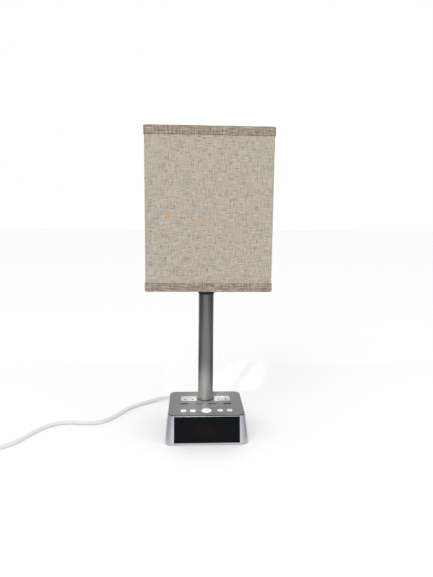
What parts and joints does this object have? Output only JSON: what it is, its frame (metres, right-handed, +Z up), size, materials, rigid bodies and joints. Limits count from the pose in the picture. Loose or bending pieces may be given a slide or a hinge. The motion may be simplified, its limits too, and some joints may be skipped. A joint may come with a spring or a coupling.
{
  "type": "alarm clock lamp",
  "caption": "Bedside lamp with a square linen shade on a pole, standing on an alarm clock base with mains outlets, USB ports and push buttons.",
  "frame": {"origin": "on the pole's axis, on the surface that the lamp stands on", "axes": "+Z up along the pole, -Y to the front where the clock is read, +X to the reader's right"},
  "size_m": [0.5333, 0.2408, 0.4842],
  "materials": {
    "satin_silver": "satin silver lacquer",
    "pole_metal": "satin nickel",
    "plate_grey": "matt grey",
    "window_black": "polished tinted acrylic",
    "black_plastic": "fine moulded",
    "button_white": "smooth moulded",
    "outlet_white": "fine moulded",
    "circuit_board": "solder mask",
    "digit_face": "grey filler",
    "plain_steel": "zinc plated",
    "contact_brass": "stamped",
    "foot_rubber": "soft moulded",
    "linen": "slubbed linen weave",
    "linen_tape": "folded linen tape",
    "frosted_globe": "frosted",
    "bulb_cap": "rolled thread",
    "cord_white": "soft satin jacket"
  },
  "bodies": {
    "root": {"bottom_cover": "black_plastic", "body_shell": "satin_silver", "top_plate": "plate_grey", "display_window": "window_black", "digit_module": "digit_face", "clock_board": "circuit_board", "ballast_plate": "plain_steel", "main_board": "circuit_board", "transformer": "plain_steel", "alarm_buzzer": "black_plastic", "backup_coin_cell": "plain_steel", "outlet_left": "outlet_white", "outlet_right": "outlet_white", "hot_bus_bar": "contact_brass", "neutral_bus_bar": "contact_brass", "ground_bus_bar": "contact_brass", "usb_carrier": "black_plastic", "usb_board": "circuit_board", "button_board": "circuit_board", "pole_collar": "pole_metal", "pole_tube": "pole_metal", "threaded_rod": "plain_steel", "rod_nut": "plain_steel", "socket_cup": "black_plastic", "socket_body": "black_plastic", "screw_shell": "contact_brass", "shade_clamp_ring": "black_plastic", "bulb_base": "bulb_cap", "bulb_globe": "frosted_globe", "shade_linen": "linen", "shade_tape_top": "linen_tape", "shade_tape_bottom": "linen_tape", "shade_frame_top": "plain_steel", "shade_frame_bottom": "plain_steel", "cord_gland": "cord_white", "mains_cord": "cord_white", "cord_coil": "cord_white", "cord_tail": "cord_white", "cord_tie": "black_plastic", "plug_body": "cord_white", "plug_blade_hot": "plain_steel", "plug_blade_neutral": "plain_steel", "plug_ground_pin": "plain_steel", "rubber_foot_1": "foot_rubber", "cover_screw_1": "plain_steel", "usb_shell_1": "plain_steel", "rubber_foot_2": "foot_rubber", "cover_screw_2": "plain_steel", "usb_shell_2": "plain_steel", "rubber_foot_3": "foot_rubber", "cover_screw_3": "plain_steel", "usb_shell_3": "plain_steel", "rubber_foot_4": "foot_rubber", "cover_screw_4": "plain_steel", "usb_shell_4": "plain_steel"},
    "alarm_button": {"alarm_button": "button_white"},
    "set_button": {"set_button": "button_white"},
    "lamp_button": {"lamp_button": "button_white"},
    "minus_button": {"minus_button": "button_white"},
    "plus_button": {"plus_button": "button_white"}
  },
  "joints": [
    {"name": "alarm_button_press", "type": "slide", "parent": "root", "child": "alarm_button", "axis": [0, 0, -1], "range_m": [0, 0.001], "stiffness_N_per_m": 400},
    {"name": "set_button_press", "type": "slide", "parent": "root", "child": "set_button", "axis": [0, 0, -1], "range_m": [0, 0.001], "stiffness_N_per_m": 400},
    {"name": "lamp_button_press", "type": "slide", "parent": "root", "child": "lamp_button", "axis": [0, 0, -1], "range_m": [0, 0.001], "stiffness_N_per_m": 600},
    {"name": "minus_button_press", "type": "slide", "parent": "root", "child": "minus_button", "axis": [0, 0, -1], "range_m": [0, 0.001], "stiffness_N_per_m": 400},
    {"name": "plus_button_press", "type": "slide", "parent": "root", "child": "plus_button", "axis": [0, 0, -1], "range_m": [0, 0.001], "stiffness_N_per_m": 400}
  ]
}
